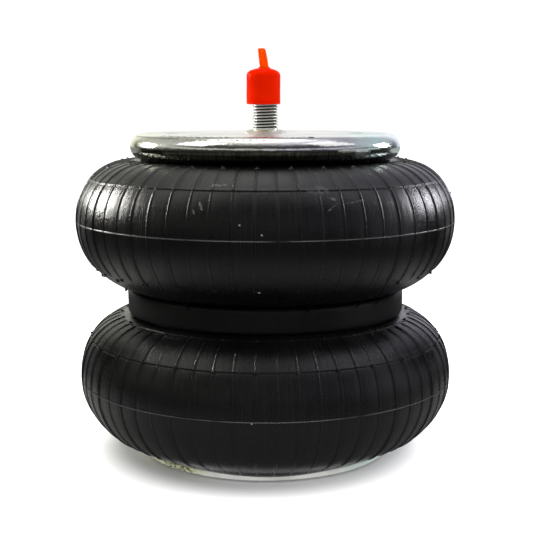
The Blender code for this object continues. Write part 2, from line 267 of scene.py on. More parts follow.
def loft(name, sections, material, sides, crease, power=2.6):
    """A solid through rounded sections of (x, z, half width, half thickness), at y 0.

    crease is the share of the thickness that a fold beside the middle takes from both faces.
    """
    turn = np.arange(sides) * 2 * math.pi / sides
    c, s = np.cos(turn), np.sin(turn)
    across = np.sign(c) * np.abs(c) ** (2 / power)
    through = np.sign(s) * np.abs(s) ** (2 / power)
    through *= 1 - crease * np.exp(-(((across - 0.3) / 0.16) ** 2))
    ring = list(zip(across, through))
    vertices = [(x + w * a, t * b, z) for x, z, w, t in sections for a, b in ring]
    faces = []
    for level in range(len(sections) - 1):
        for i in range(sides):
            j = (i + 1) % sides
            low, high = level * sides, (level + 1) * sides
            faces.append((low + i, low + j, high + j, high + i))
    faces.append(tuple(range(sides))[::-1])
    faces.append(tuple(range(len(vertices) - sides, len(vertices))))
    return mesh_object(name, vertices, faces, material)


def join(name, pieces):
    """One object of several, named name."""
    merged = bmesh.new()
    for piece in pieces:
        merged.from_mesh(piece.data)
    first = pieces[0]
    merged.to_mesh(first.data)
    merged.free()
    for piece in pieces[1:]:
        bpy.data.objects.remove(piece)
    first.name = first.data.name = name
    first.data.shade_smooth()
    return first


def drill(obj, places, radius, depth):
    """Round holes along Z at the given places, cut and applied."""
    for place in places:
        size = {"radius": radius, "depth": depth, "vertices": 48}
        bpy.ops.mesh.primitive_cylinder_add(location=place, **size)
        cutter = bpy.context.object
        hole = obj.modifiers.new("hole", "BOOLEAN")
        hole.operation = "DIFFERENCE"
        hole.solver = "EXACT"
        hole.object = cutter
        bpy.context.view_layer.update()
        result = obj.evaluated_get(bpy.context.evaluated_depsgraph_get())
        drilled = bpy.data.meshes.new_from_object(result)
        obj.modifiers.clear()
        obj.data = drilled
        bpy.data.objects.remove(cutter)


def mirror_down(outline):
    """An upper plate's outline, drawn from its outer face, turned over for the lower plate."""
    return [(r, TOP - z) for r, z in outline][::-1]


# Helpers for materials


class Tree:
    """A node tree, with short calls for the nodes used here."""

    def __init__(self, tree):
        self.tree = tree

    def add(self, kind, **values):
        node = self.tree.nodes.new(kind)
        for key, value in values.items():
            setattr(node, key, value)
        return node

    def link(self, source, target):
        self.tree.links.new(source, target)

    def feed(self, sockets, values):
        """Gives each socket its value, which is a constant or another node's output."""
        for socket, value in zip(sockets, values):
            if isinstance(value, bpy.types.NodeSocket):
                self.link(value, socket)
            else:
                socket.default_value = value

    def math(self, operation, first, second=0.0, clamp=False):
        node = self.add("ShaderNodeMath", operation=operation, use_clamp=clamp)
        self.feed(node.inputs, (first, second))
        return node.outputs[0]

    def vector_math(self, operation, *values):
        """The outputs of a vector node: a vector is the first, and a number is "Value"."""
        node = self.add("ShaderNodeVectorMath", operation=operation)
        self.feed(node.inputs, values)
        return node.outputs

    def split(self, vector):
        """The three parts of a vector."""
        node = self.add("ShaderNodeSeparateXYZ")
        self.link(vector, node.inputs[0])
        return node.outputs

    def between(self, value, low, high, to_low=0.0, to_high=1.0):
        """The value's way from low to high, as a smooth step from to_low to to_high."""
        node = self.add("ShaderNodeMapRange", interpolation_type="SMOOTHSTEP")
        self.feed(node.inputs[:5], (value, low, high, to_low, to_high))
        return node.outputs[0]

    def mix(self, share, first, second):
        """A colour between two, each a colour or a socket."""
        node = self.add("ShaderNodeMix", data_type="RGBA")
        self.link(share, node.inputs["Factor"])
        colours = [(*c, 1.0) if isinstance(c, tuple) else c for c in (first, second)]
        self.feed(node.inputs[6:8], colours)
        return node.outputs[2]


class Nodes(Tree):
    """A material's node tree."""

    def __init__(self, name, colour, roughness, **sockets):
        self.material = bpy.data.materials.new(name)
        self.material.use_nodes = True
        super().__init__(self.material.node_tree)
        self.shader = self.tree.nodes["Principled BSDF"]
        self.set("Base Color", (*colour, 1.0))
        self.set("Roughness", roughness)
        for socket, value in sockets.items():
            self.set(socket.replace("_", " "), value)
        self.place = self.add("ShaderNodeTexCoord").outputs["Object"]
        self.x, self.y, self.z = self.split(self.place)

    def set(self, socket, value):
        self.shader.inputs[socket].default_value = value

    def into(self, socket, value):
        self.link(value, self.shader.inputs[socket])

    def angle(self):
        """The angle round the bellows' axis, 0 in front."""
        return self.math("ARCTAN2", self.x, self.times(self.y, -1.0))

    def radius(self):
        """The distance from the bellows' axis."""
        flat = self.vector_math("MULTIPLY", self.place, (1.0, 1.0, 0.0))[0]
        return self.vector_math("LENGTH", flat)["Value"]

    def round_the_axis(self, *scales):
        """Coordinates that follow the turned surface: angle, radius and height, each scaled."""
        joined = self.add("ShaderNodeCombineXYZ")
        values = zip((self.angle(), self.radius(), self.z), scales)
        self.feed(joined.inputs, [self.times(*pair) for pair in values])
        return joined.outputs[0]

    def distance(self, place):
        """How far a point lies from a place on the object."""
        return self.vector_math("DISTANCE", self.place, place)["Value"]

    def stroke(self, start, end, width):
        """1 along a straight stroke between two places, falling to 0 at its width."""
        run = Vector(end) - Vector(start)
        offset = self.vector_math("SUBTRACT", self.place, start)[0]
        along = self.vector_math("DOT_PRODUCT", offset, run / run.length_squared)["Value"]
        closest = self.add("ShaderNodeVectorMath", operation="SCALE")
        closest.inputs[0].default_value = run
        self.link(self.math("ADD", along, 0.0, clamp=True), closest.inputs["Scale"])
        away = self.vector_math("DISTANCE", offset, closest.outputs[0])["Value"]
        return self.between(away, width, width * 0.4)

    def ring(self, radius, half_width):
        """1 on a ring round the axis, falling to 0 at its half width."""
        off = self.math("ABSOLUTE", self.math("SUBTRACT", self.radius(), radius))
        return self.between(off, half_width, half_width * 0.5)

    def sector(self, start, end, fade=1.0):
        """1 between two angles round the axis, in degrees."""
        angle = self.angle()
        first = self.between(angle, math.radians(start - fade), math.radians(start + fade))
        last = self.between(angle, math.radians(end + fade), math.radians(end - fade))
        return self.times(first, last)

    def times(self, first, *others):
        for other in others:
            first = self.math("MULTIPLY", first, other)
        return first

    def either(self, first, *others):
        """The sum of shares, 1 at most."""
        for other in others:
            first = self.math("ADD", first, other, clamp=True)
        return first

    def noise(self, scale, detail=4.0, roughness=0.55, vector=None):
        node = self.add("ShaderNodeTexNoise")
        sockets = [node.inputs[name] for name in ("Vector", "Scale", "Detail", "Roughness")]
        self.feed(sockets, (vector or self.place, scale, detail, roughness))
        return node.outputs["Fac"]

    def bump(self, height, strength, distance, normal=None):
        node = self.add("ShaderNodeBump")
        sockets = [node.inputs[name] for name in ("Height", "Strength", "Distance")]
        self.feed(sockets, (height, strength, distance))
        if normal:
            self.link(normal, node.inputs["Normal"])
        return node.outputs["Normal"]


def rubber(name, dark, light, roughness, grain, scuffs=(), specks=()):
    """Moulded rubber: fine grain, cord marks up the wall, dusty where it faces up, and a painted
    highlight along the equator seams.

    scuffs are strokes of (start, end, half width, strength), specks are (place, radius, light).
    """
    n = Nodes(name, dark, roughness, Specular_IOR_Level=0.42)
    streaks = n.noise(1.0, 3.0, vector=n.round_the_axis(170.0, 6.0, 6.0))
    clouds = n.noise(22.0, 5.0)
    facing = n.split(n.add("ShaderNodeNewGeometry").outputs["Normal"])
    patchy = n.times(n.between(facing["Z"], 0.2, 0.95), n.between(clouds, 0.35, 0.65))
    tint = n.mix(n.between(streaks, 0.4, 0.7), dark, light)
    dusty = tuple(1.6 * c for c in light)
    colour = n.mix(n.times(patchy, 0.6), tint, dusty)
    # Painted highlight: a light grey line, in patches, along each equator seam
    for seam in (UPPER_EQUATOR[1], LOWER_EQUATOR[1]):
        off = n.math("ABSOLUTE", n.math("SUBTRACT", n.z, seam))
        seam_highlight = n.times(n.between(off, 0.0005, 0.0002), n.between(clouds, 0.25, 0.5), 0.8)
        colour = n.mix(seam_highlight, colour, (0.10, 0.10, 0.10))
    rough = n.between(clouds, 0.3, 0.7, roughness - 0.04, roughness + 0.05)
    rough = n.math("ADD", rough, n.between(streaks, 0.3, 0.7, 0.0, 0.04))
    if scuffs:
        frayed = n.between(n.noise(420.0, 4.0, 0.7), 0.40, 0.64)
        worn = [n.times(n.stroke(a, b, wide), frayed, share) for a, b, wide, share in scuffs]
        worn = n.either(*worn)
        colour = n.mix(worn, colour, (0.16, 0.16, 0.165))
        rough = n.math("ADD", rough, n.times(worn, 0.2))
    for place, size, level in specks:
        spot = n.between(n.distance(place), size, size * 0.5)
        colour = n.mix(spot, colour, (level, level, level))
    n.into("Base Color", colour)
    n.into("Roughness", rough)
    fine = n.bump(n.noise(980.0, 2.0, 0.7), grain, 0.0008)
    cords = n.bump(streaks, 0.15, 0.0004, fine)
    n.into("Normal", n.bump(n.noise(230.0, 2.0), 0.10, 0.0006, cords))
    return n.material


def start_zinc(name):
    """Bright zinc plate, with the lamps' reflections painted in: a little yellow on the left and
    blue-green on the right.
    """
    n = Nodes(name, (0.80, 0.81, 0.79), 0.2, Metallic=1.0)
    clouds = n.noise(35.0, 5.0)
    # Painted reflection of the lamps' colours: yellow towards the left end, blue-green towards
    # the right
    painted_lamp_tint = n.mix(n.between(n.x, -0.078, -0.106), (0.86, 0.86, 0.83), (0.80, 0.82, 0.60))
    painted_lamp_tint = n.mix(n.between(n.x, 0.045, 0.09), painted_lamp_tint, (0.62, 0.84, 0.74))
    shaded = n.mix(n.between(clouds, 0.35, 0.75), painted_lamp_tint, (0.66, 0.67, 0.64))
    return n, clouds, shaded


def end_zinc(n, shaded, rough, swell):
    n.into("Base Color", shaded)
    n.into("Roughness", rough)
    waves = n.noise(1.0, 2.0, vector=n.round_the_axis(14.0, 40.0, 160.0))
    fine = n.bump(n.noise(1400.0, 2.0), 0.05, 0.0002)
    n.into("Normal", n.bump(waves, swell, 0.0015, fine))
    return n.material


def upper_zinc():
    """The upper plate: rows of flecks where the press drew it, a painted dark reflection line on
    the roll, its lower half painted as a streaky reflection of the dark rubber, and painted shade
    under it.
    """
    n, clouds, shaded = start_zinc("zinc_plate")
    scratches = n.noise(1.0, 4.0, 0.7, n.round_the_axis(45.0, 500.0, 0.0))
    rows = n.times(n.ring(0.1060, 0.0028), n.between(scratches, 0.50, 0.54), n.sector(-50, 20))
    inner = n.times(n.ring(0.1102, 0.0010), n.between(scratches, 0.55, 0.58), n.sector(-50, 5))
    blob = n.times(n.ring(0.1056, 0.0026), n.sector(18.0, 20.5, 0.4))
    # Painted reflection: a dark line round the roll's front left, mixed in with the real flecks
    # and pits
    line = n.times(n.ring(0.1093, 0.0011), n.sector(-75, -38, 2.0), 0.55)
    pits = n.times(n.between(n.noise(700.0, 2.0), 0.66, 0.70), 0.5)
    marks = n.either(rows, inner, blob, line, pits)
    # Painted reflection of the dark rubber below: the roll's lower half dark olive in streaks, on
    # the front and left
    reflection_streaks = n.noise(1.0, 2.0, 0.6, n.round_the_axis(120.0, 0.0, 30.0))
    painted_rubber_reflection = n.mix(n.between(reflection_streaks, 0.38, 0.62), (0.10, 0.10, 0.075), (0.34, 0.35, 0.28))
    low = n.times(n.between(n.z, TOP - 0.0098, TOP - 0.0118), n.sector(-80, 37.6, 0.4))
    shaded = n.mix(low, shaded, painted_rubber_reflection)
    # Painted shade on the underside of the roll, next to the rubber
    painted_shade_under_roll = n.between(n.z, TOP - 0.0148, TOP - 0.0172)
    shaded = n.mix(painted_shade_under_roll, shaded, (0.09, 0.09, 0.08))
    shaded = n.mix(marks, shaded, (0.07, 0.07, 0.06))
    flat = n.between(n.radius(), FLAT_RADIUS + 0.001, FLAT_RADIUS - 0.004, 0.0, 0.22)
    rough = n.math("ADD", n.between(clouds, 0.3, 0.8, 0.09, 0.16), flat)
    rough = n.math("ADD", rough, n.times(marks, 0.35))
    return end_zinc(n, shaded, rough, 0.17)


def lower_zinc():
    """The lower plate: its rim speckled with corrosion towards the left, and a painted contact
    shadow at its foot.
    """
    n, clouds, shaded = start_zinc("zinc_lower_plate")
    spots = n.between(n.noise(330.0, 5.0, 0.7), 0.47, 0.56)
    patch = n.times(spots, n.sector(-62, -30, 6.0))
    yellow = n.times(n.sector(-65, -26, 8.0), 0.7)
    shaded = n.mix(yellow, shaded, (0.66, 0.68, 0.36))
    shaded = n.mix(patch, shaded, (0.16, 0.17, 0.07))
    # Painted contact shadow: the rim darkened at its foot, where it meets the floor
    shaded = n.mix(n.between(n.z, 0.0024, 0.0012), shaded, (0.12, 0.12, 0.11))
    rough = n.between(clouds, 0.3, 0.8, 0.22, 0.34)
    rough = n.math("ADD", rough, n.times(patch, 0.35))
    return end_zinc(n, shaded, rough, 0.12)


def thread_zinc():
    """The stud: bright crests, dirt and painted shade in the thread's roots, and a painted cream
    reflection on its right.
    """
    n, clouds, shaded = start_zinc("zinc_thread")
    root = n.between(n.radius(), STUD_RADIUS - 0.0005, STUD_RADIUS - 0.0011)
    # Painted reflection of the right lamp: the stud cream on its right half
    shaded = n.mix(n.between(n.x, 0.0, 0.006), shaded, (0.66, 0.68, 0.58))
    # Painted shade, with some dirt: the thread's roots dark
    shaded = n.mix(root, shaded, (0.02, 0.025, 0.025))
    n.set("Metallic", 0.75)
    n.set("Specular IOR Level", 0.1)
    return end_zinc(n, shaded, n.between(clouds, 0.3, 0.8, 0.20, 0.30), 0.0)


def weld_zinc():
    """The weld: duller than the plate, and yellowish."""
    n, clouds, shaded = start_zinc("zinc_weld")
    shaded = n.mix(n.between(n.z, TOP + 0.0006, TOP + 0.0022), shaded, (0.80, 0.82, 0.66))
    return end_zinc(n, shaded, n.between(clouds, 0.3, 0.8, 0.28, 0.42), 0.0)


def bare_steel():
    n = Nodes("bare_steel", (0.45, 0.45, 0.45), 0.4, Metallic=1.0)
    mottle = n.noise(300.0, 5.0)
    n.into("Base Color", n.mix(mottle, (0.34, 0.33, 0.32), (0.58, 0.58, 0.58)))
    n.into("Roughness", n.between(mottle, 0.3, 0.7, 0.3, 0.5))
    n.into("Normal", n.bump(n.noise(1500.0, 2.0), 0.1, 0.0002))
    return n.material


def vinyl():
    """Soft red vinyl: light passes through it a little, its skin is glossy and uneven, and its
    dome is painted more orange for the backlight through it.
    """
    n = Nodes("red_vinyl", (1.0, 0.01, 0.0005), 0.16, Subsurface_Weight=0.8)
    n.set("Subsurface Scale", 0.008)
    n.set("Subsurface Radius", (1.0, 0.10, 0.01))
    n.set("IOR", 1.2)
    n.set("Specular IOR Level", 0.04)
    clouds = n.noise(90.0, 3.0)
    # Painted light: above the shoulder the dome is more orange, standing for backlight shining
    # through the vinyl
    backlit_dome = n.between(n.z, CAP_LOW.z + 0.0285, CAP_LOW.z + 0.0330)
    red = n.mix(clouds, (1.0, 0.006, 0.0002), (1.0, 0.020, 0.0004))
    n.into("Base Color", n.mix(backlit_dome, red, (0.90, 0.10, 0.002)))
    n.into("Normal", n.bump(n.noise(160.0, 2.0), 0.10, 0.0008))
    return n.material


# Bellows


def resampled(path, marks):
    """The path in rows of even spacing, with a close group of rows at each marked point."""
    path = np.array(path)
    steps = np.linalg.norm(np.diff(path, axis=0), axis=1)
    length = np.concatenate([[0], np.cumsum(steps)])
    spots = [length[nearest(path, mark)] for mark in marks]
    even = np.linspace(0, length[-1], int(length[-1] / ROW_SPACING) + 1)
    close = np.array([spot + off for spot in spots for off in RING_ROWS])
    near = np.min(np.abs(even[:, None] - np.array(spots)), axis=1) < RING_CLEARANCE
    where = np.sort(np.concatenate([even[~near], close]))
    rows = np.stack([np.interp(where, length, path[:, k]) for k in (0, 1)], 1)
    return rows, where, spots


def rib_columns(radii, where):
    """Angles of the mesh's columns, and each column's share of the ribs' height.

    No two ribs are quite alike: each wanders a little and stands a little higher or lower.
    """
    columns, crest = [], []
    for rib in range(RIB_COUNT):
        angle = RIB_PHASE + rib * RIB_PITCH
        wander = 0.0004 * np.sin(1.7 * rib + 22 * where) / radii
        tall = 0.9 + 0.25 * math.sin(2.3 * rib)
        for offset, share in RIB_PROFILE:
            columns.append(angle + wander + offset * RIB_HALF_WIDTH / radii)
            crest.append(tall * share)
        for share in (0.36, 0.64):
            columns.append(np.full(len(radii), angle + share * RIB_PITCH))
            crest.append(0.0)
    return np.array(columns), np.array(crest)


def make_skin(name, path, rings, rib_span):
    """One convolution's rubber: its ribs, the lines of the mould, and a wall behind them.

    rings is a list of (point, height, half width, height of the lip just before it), and
    rib_span the two points on the path between which the ribs stand.
    """
    rows, where, spots = resampled(path, [ring[0] for ring in rings])
    columns, crest = rib_columns(rows[:, 0], where)
    first, last = [where[nearest(rows, point)] for point in rib_span]
    stand = step(where, first - RIB_FADE, first + RIB_FADE)
    stand *= 1 - step(where, last - RIB_FADE, last + RIB_FADE)
    inside = (rows - WALL * normals(rows, False))[::INSIDE_STEP]

    def relief(angles, radii, heights):
        angles, heights = angles[:, : len(rows)], heights[:, : len(rows)]
        out = RIB_HEIGHT * crest[:, None] * stand
        for (_, height, half_width, lip), spot in zip(rings, spots):
            near = np.clip(1 - ((where - spot) / half_width) ** 2, 0, 1)
            beside = np.clip(1 - ((where - spot) / half_width + 1.5) ** 2, 0, 1)
            out = out * (1 - 0.5 * near) + height * near
            out += lip * beside
        sway = 0.00012 * np.sin(3 * angles + 40 * heights) + 0.0001 * np.sin(7 * angles)
        fold = 1 - step(heights, *FOLD_FADE)
        out = out + sway + fold * (FOLD_SWAY * np.cos(4 * angles) - FOLD_LIFT)
        return np.concatenate([out, np.zeros((len(out), len(inside)))], axis=1)

    columns = np.concatenate([columns, columns[:, ::INSIDE_STEP][:, ::-1]], axis=1)
    return lathe(name, np.concatenate([rows, inside[::-1]]), RUBBER, columns, relief)


def upper_path():
    """From the upper plate's lip over the shoulder and the equator to the waist."""
    lip = (0.1054, TOP - 0.0218)
    crest = (0.1125, 0.2478)
    path = [lip] + bridge(lip, (0.16, -0.99), crest, (1.0, 0.0), 10)
    radius, height = UPPER_EQUATOR
    path += bulge((crest[0], height), radius - crest[0], crest[1] - height, 2.16, 1, 0)
    path += bulge((0.1000, height), radius - 0.1000, -0.0581, 1.99, 0, 0.885)[1:]
    path += arc((NECK_RADIUS + NECK_FILLET, 0.1375), NECK_FILLET, 108, 180, 8)
    return path + [(NECK_RADIUS, WAIST + 0.00015)]


def lower_path():
    """From the waist over the equator to the fold that hugs the lower plate's rim."""
    radius, height = LOWER_EQUATOR
    path = [(NECK_RADIUS, WAIST - 0.00015)]
    path += arc((NECK_RADIUS + NECK_FILLET, 0.1222), NECK_FILLET, 180, 262, 8)
    path += bulge((0.1060, height), radius - 0.1060, 0.0554, 2.24, 0.92, 0)
    path += bulge((0.1140, height), radius - 0.1140, -0.0520, 1.82, 0, 0.78)[1:]
    fold = (0.1188, 0.0098)
    path += bridge(path[-1], (-0.92, -0.40), fold, (-1.0, 0.05), 10, 1.0) + [fold]
    rest = (FLAT_RADIUS + (ROLL_RADIUS + 0.0003) * math.cos(math.radians(20)), 0.0148)
    path += bridge(fold, (-1.0, 0.05), rest, (-0.2, 0.98), 10)
    path += arc((FLAT_RADIUS, ROLL_RADIUS), ROLL_RADIUS + 0.0004, 24, 80, 10)
    return path


def add_cone(shell, place, along, radii, length, segments=10):
    turn = along.to_track_quat("Z", "Y").to_matrix().to_4x4()
    matrix = Matrix.Translation(place + along.normalized() * length / 2) @ turn
    size = {"radius1": radii[0], "radius2": radii[1], "depth": length}
    bmesh.ops.create_cone(shell, cap_ends=True, segments=segments, matrix=matrix, **size)


def every_other_rib(spots):
    """Places at every other rib: the angle, and the point and outward direction of each spot."""
    angles = [RIB_PHASE + rib * RIB_PITCH for rib in range(1, RIB_COUNT, 2)]
    return [(angle, *spot) for spot in spots for angle in angles]


def flash(name, pip_places, whiskers):
    """What the mould leaves: stubs of its vents on little rises, and threads of rubber.

    whiskers are (angle in degrees, start, end) with each end a (radius, height) point.
    """
    shell = bmesh.new()
    for number, (angle, (radius, height), (out, up)) in enumerate(pip_places):
        tilt = Vector(in_space(angle, out, up))
        place = Vector(in_space(angle, radius, height))
        tall = 0.0011 + 0.0005 * math.sin(number * 2.7)
        add_cone(shell, place, tilt, RISE, RISE_HEIGHT)
        add_cone(shell, place + tilt * STUB_START, tilt, STUB, tall)
    for angle, start, end in whiskers:
        turned = math.radians(angle)
        low = Vector(in_space(turned, *start))
        high = Vector(in_space(turned + WHISKER_TURN, *end))
        add_cone(shell, low, high - low, WHISKER, (high - low).length, 6)
    mesh = bpy.data.meshes.new(name)
    shell.to_mesh(mesh)
    shell.free()
    mesh.materials.append(RUBBER)
    return placed(name, mesh)


def on_skin(path, angle, height):
    """A place on a convolution's outer side, from an angle in degrees and a height."""
    rows = np.array(path)
    rows = rows[rows[:, 0] > BAND_RADIUS]
    rows = rows[np.argsort(rows[:, 1])]
    radius = np.interp(height, rows[:, 1], rows[:, 0])
    turned = math.radians(angle)
    return (radius * math.sin(turned), -radius * math.cos(turned), height)


def path_spot(path, near):
    """A path's point nearest to the one given, with the outward direction there."""
    rows = np.array(path)
    where = nearest(rows, near)
    return tuple(rows[where]), tuple(normals(rows, False)[where])


def flatten_with(piece, body):
    """The piece rides on its plate's body, with a mesh of its own."""
    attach(piece, body)
    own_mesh(piece)


def make_bellows():
    upper, lower = upper_path(), lower_path()
    rings_up = [
        (UPPER_RING, -0.00050, 0.0007, 0.00025),
        (UPPER_EQUATOR, 0.00040, 0.0005, 0.0),
    ]
    rings_low = [
        (LOWER_BEND, 0.00050, 0.0007, 0.0),
        (LOWER_RING, -0.00045, 0.0007, 0.00025),
        (LOWER_EQUATOR, 0.00034, 0.0005, 0.0),
    ]
    ribs_up = [(0.1125, 0.2477), (0.1470, 0.1605)]
    ribs_low = [(0.1235, 0.1143), (0.1240, 0.0125)]
    skin_up = make_skin("upper_bellows", upper, rings_up, ribs_up)
    skin_low = make_skin("lower_bellows", lower, rings_low, ribs_low)
    spots_up = [path_spot(upper, p) for p in ((0.1205, 0.2472), (0.1450, 0.1580))]
    spots_low = [path_spot(lower, p) for p in (LOWER_BEND, LOWER_RING)]
    places_up = every_other_rib(spots_up)
    lumps_up = [(88, 0.158, 0.226), (88, 0.158, 0.2205), (-54.8, 0.1426, 0.1559)]
    lumps_up += [(-61.6, 0.1282, 0.1461), (-70.5, 0.1418, 0.1552), (-40.2, 0.1441, 0.1573)]
    lumps_up += [(-26.4, 0.1452, 0.1584), (-80, 0.1444, 0.2359), (-73.5, 0.1325, 0.2420)]
    places_up += [(math.radians(a), *path_spot(upper, (r, z))) for a, r, z in lumps_up]
    thread_up = ((0.1190, BAND_HIGH - 0.003), (0.1300, 0.1470))
    thread_low = ((0.1240, 0.1150), (0.1165, BAND_LOW + 0.001))
    above = [(angle, *thread_up) for angle in (-30, 15.5, 36.5, 47)]
    below = [(angle, *thread_low) for angle in (-27, 5.5, 20, 32, 58)]
    pips_up = flash("upper_vent_pips", places_up, above)
    places_low = every_other_rib(spots_low)
    places_low.append((math.radians(41.5), *path_spot(lower, (0.1254, 0.1167))))
    pips_low = flash("lower_vent_pips", places_low, below)
    for piece in (skin_up, pips_up):
        flatten_with(piece, "head")
    for piece in (skin_low, pips_low):
        flatten_with(piece, "base")
    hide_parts("upper_convolution")
    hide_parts("lower_convolution")


def bead_outline():
    """The bellows' bead inside the upper plate's roll, with the groove for its core."""
    middle, reach = TOP - ROLL_RADIUS, ROLL_RADIUS - SHEET - 0.0003
    inner, corner, groove = 0.0950, 0.0020, 0.0035
    outline = arc((FLAT_RADIUS, middle), reach, 90, -80, 20)
    outline += [(0.0985, TOP - 0.0200), (inner + corner, middle - reach)]
    outline += [(inner, middle - reach + corner), (inner, middle - groove)]
    outline += arc((FLAT_RADIUS - 0.0032, middle), groove, -90, 90, 10)
    outline += [(inner, middle + groove), (inner, middle + reach - corner)]
    return outline + [(inner + corner, middle + reach)]


def make_beads():
    for body, outline in (("head", bead_outline()), ("base", mirror_down(bead_outline()))):
        bead = lathe(f"{body}_bead", outline, RUBBER)
        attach(bead, body)


def make_band():
    """The girdle's rubber: smooth, its edges rounded, with the hoop's groove on its inside."""
    middle, half = (BAND_LOW + BAND_HIGH) / 2, (BAND_HIGH - BAND_LOW) / 2
    inner, edge = NECK_RADIUS + 0.0003, 0.0024
    outer, corner = BAND_RADIUS, 0.0030
    bottom, half_groove = 0.1120, 0.0053
    outline = arc((inner + edge, middle + half - edge), edge, 180, 90, 8)
    outline += arc((outer - corner, middle + half - corner), corner, 90, 8, 10)
    outline += [(outer, middle + z) for z in (0.004, 0.0, -0.004)]
    outline += arc((outer - corner, middle - half + corner), corner, -8, -90, 10)
    outline += arc((inner + edge, middle - half + edge), edge, -90, -180, 8)
    outline += [(inner, middle - half_groove), (bottom, middle - half_groove)]
    outline += [(bottom, middle + half_groove), (inner, middle + half_groove)]

    def relief(angles, radii, heights):
        outside = radii > outer - 0.002
        return np.where(outside, 0.00012 * np.sin(5 * angles + 200 * heights), 0.0)

    band = lathe("girdle_band_rubber", outline, BAND, 240, relief)
    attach(band, "girdle")
    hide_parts("girdle_band")


# Plates, stud and nuts


def plate_outline(hole):
    """The pressed sheet, from its hole over the flat and round the roll to the lip."""
    roll = (FLAT_RADIUS, TOP - ROLL_RADIUS)
    lip = math.degrees(-LIP_ANGLE)
    flat = [(r, TOP) for r in np.linspace(hole, FLAT_RADIUS, 14)[:-1]]
    under = [(r, TOP - SHEET) for r in np.linspace(FLAT_RADIUS, hole, 8)[1:]]
    outer = arc(roll, ROLL_RADIUS, 90, lip, 44)
    inner = arc(roll, ROLL_RADIUS - SHEET, lip, 90, 20)
    bend = ROLL_RADIUS - SHEET / 2
    end = (roll[0] + bend * math.cos(LIP_ANGLE), roll[1] - bend * math.sin(LIP_ANGLE))
    edge = arc(end, SHEET / 2, lip, lip - 180, 8)
    return flat + outer + edge[1:-1] + inner + under


def pressed(angles, radii, heights):
    """The slight unevenness of a pressing, stronger on the roll than on the flat."""
    out = np.zeros(angles.shape)
    for spot in np.ndindex(angles.shape):
        place = in_space(angles[spot], radii[spot], heights[spot]) * PRESSED_WAVES
        weight = 1.0 if radii[spot] > FLAT_RADIUS - 0.004 else PRESSED_FLAT_SHARE
        out[spot] = PRESSED_DEPTH * weight * (noise.noise(Vector(place)) - 1)
    return out


def make_plates():
    upper = lathe("upper_plate", plate_outline(STUD_HOLE_RADIUS), ZINC, 216, pressed)
    lower = lathe("lower_plate", mirror_down(plate_outline(0.0)), ZINC_LOWER, 216, pressed)
    for plate, height, body in ((upper, TOP, "head"), (lower, 0.0, "base")):
        holes = [(side * NUT_PLACE, 0.0, height) for side in (-1, 1)]
        drill(plate, holes, NUT_HOLE_RADIUS, 0.02)
        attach(plate, body)
    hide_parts("upper_bead_plate")
    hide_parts("lower_bead_plate")


def thread(angles, heights, low, high, pitch, depth):
    """How deep a thread is cut at each point, fading out at both ends.

    A tenth of its pitch is flat at the crest, and another at the root.
    """
    phase = (heights / pitch - angles / (2 * math.pi)) % 1.0
    groove = np.clip(np.abs(2 * phase - 1) * 1.25 - 0.125, 0, 1)
    ends = step(heights, low, low + pitch) * (1 - step(heights, high - pitch, high))
    return -depth * groove * ends


def make_stud():
    """The stud: down its thread, round its head, and up through the airway and the port."""
    foot, head_top, edge, chamfer = TOP + 0.0026, TOP - SHEET - 0.0003, 0.0005, 0.0013
    port_foot = STUD_TOP - PORT_DEPTH
    outline = [(STUD_RADIUS - chamfer, STUD_TOP), (STUD_RADIUS, STUD_TOP - chamfer)]
    outline += [(STUD_RADIUS, z) for z in np.arange(STUD_TOP - 0.0016, foot, -THREAD_PITCH / 12)]
    outline += [(STUD_RADIUS, foot), (STUD_RADIUS, head_top)]
    outline += [(STUD_HEAD_RADIUS - edge, head_top), (STUD_HEAD_RADIUS, head_top - edge)]
    outline += [(STUD_HEAD_RADIUS, STUD_LOW + edge), (STUD_HEAD_RADIUS - edge, STUD_LOW)]
    outline += [(AIRWAY_RADIUS + edge, STUD_LOW), (AIRWAY_RADIUS, STUD_LOW + edge)]
    outline += [(AIRWAY_RADIUS, port_foot - 0.0017)]
    outline += [(PORT_RADIUS, z) for z in np.arange(port_foot, STUD_TOP - 0.001, 0.0002)]
    outline += [(PORT_RADIUS + edge, STUD_TOP)]

    def relief(angles, radii, heights):
        outside = (radii > STUD_RADIUS - SAME) & (heights > foot)
        bore = (np.abs(radii - PORT_RADIUS) < SAME) & (heights < STUD_TOP)
        cut = thread(angles, heights, foot, STUD_TOP - 0.001, THREAD_PITCH, THREAD_DEPTH)
        fine = thread(angles, heights, port_foot, STUD_TOP, PORT_PITCH, PORT_THREAD_DEPTH)
        return np.where(outside, cut, np.where(bore, fine, 0.0))

    stud = lathe("threaded_stud", outline, ZINC_THREAD, 96, relief)
    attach(stud, "head")
    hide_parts("combination_stud")


def make_weld_collar():
    """The weld round the stud's foot: a low slope of overlapping ripples."""
    inner, outer = STUD_HOLE_RADIUS, 0.0188
    low, top = TOP + 0.0001, TOP + 0.0030
    crest, toe = (0.0140, top - 0.0002), (outer, low + 0.0002)
    outline = [(inner, top - 0.001), (inner + 0.001, top), crest]
    outline += bridge(crest, (0.97, -0.25), toe, (0.97, -0.2), 12)
    outline += [toe, (outer, low), (inner, low)]

    def relief(angles, radii, heights):
        up = (heights > low + 0.0006) & (radii > inner + 0.0005)
        ripple = np.abs(np.sin(17 * angles + 260 * radii))
        return np.where(up, 0.00025 * ripple - 0.0002, 0.0)

    collar = lathe("weld_ripples", outline, ZINC_WELD, 144, relief)
    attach(collar, "head")
    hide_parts("stud_weld_collar")


